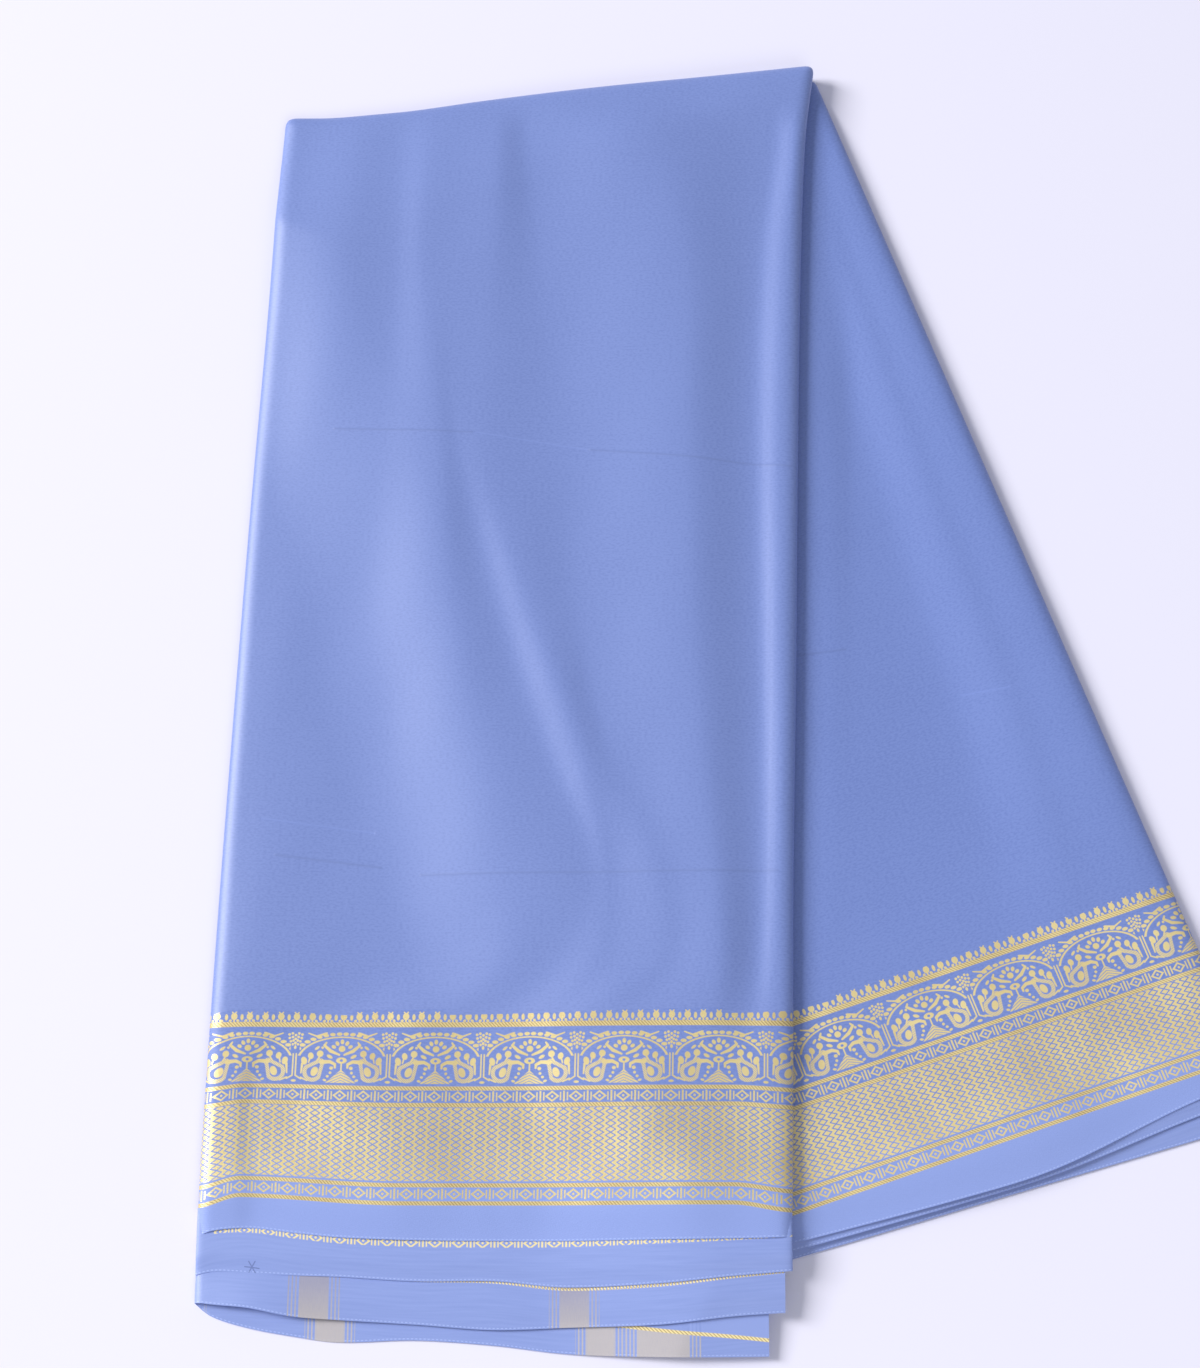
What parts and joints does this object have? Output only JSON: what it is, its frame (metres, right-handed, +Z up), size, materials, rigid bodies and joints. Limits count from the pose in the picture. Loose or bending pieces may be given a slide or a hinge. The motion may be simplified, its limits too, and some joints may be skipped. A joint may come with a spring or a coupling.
{
  "type": "folded saree",
  "caption": "Saree with a wide woven metal-thread border, folded selvedge to selvedge and then into a narrow pile, laid flat with the pile fanned into overlapping leaves.",
  "frame": {"origin": "on the floor, under the middle of the part's box", "axes": "+Y from the hems towards the centre fold, the longest extent; +X towards the fanned leaf; +Z up through the pile, the shortest extent"},
  "size_m": [0.5038, 0.654, 0.0154],
  "materials": {
    "silk": "dusty blue silk with a soft satin sheen and a woven gold border",
    "silk_layers": "dusty blue silk, layered folds",
    "hem_silk": "plain blue silk selvedge band with a sliver of the gold border",
    "pallu_silk": "plain blue silk crossed by pale gold weft bands"
  },
  "bodies": {
    "root": {"front_leaf_wrap": "silk", "front_leaf_layers": "silk_layers", "front_second_hem": "hem_silk", "front_pallu_hem": "pallu_silk", "front_lowest_hem": "pallu_silk", "back_leaf_wrap": "silk", "back_leaf_layers": "silk_layers", "back_second_hem": "hem_silk", "back_lowest_hem": "hem_silk"}
  },
  "joints": []
}
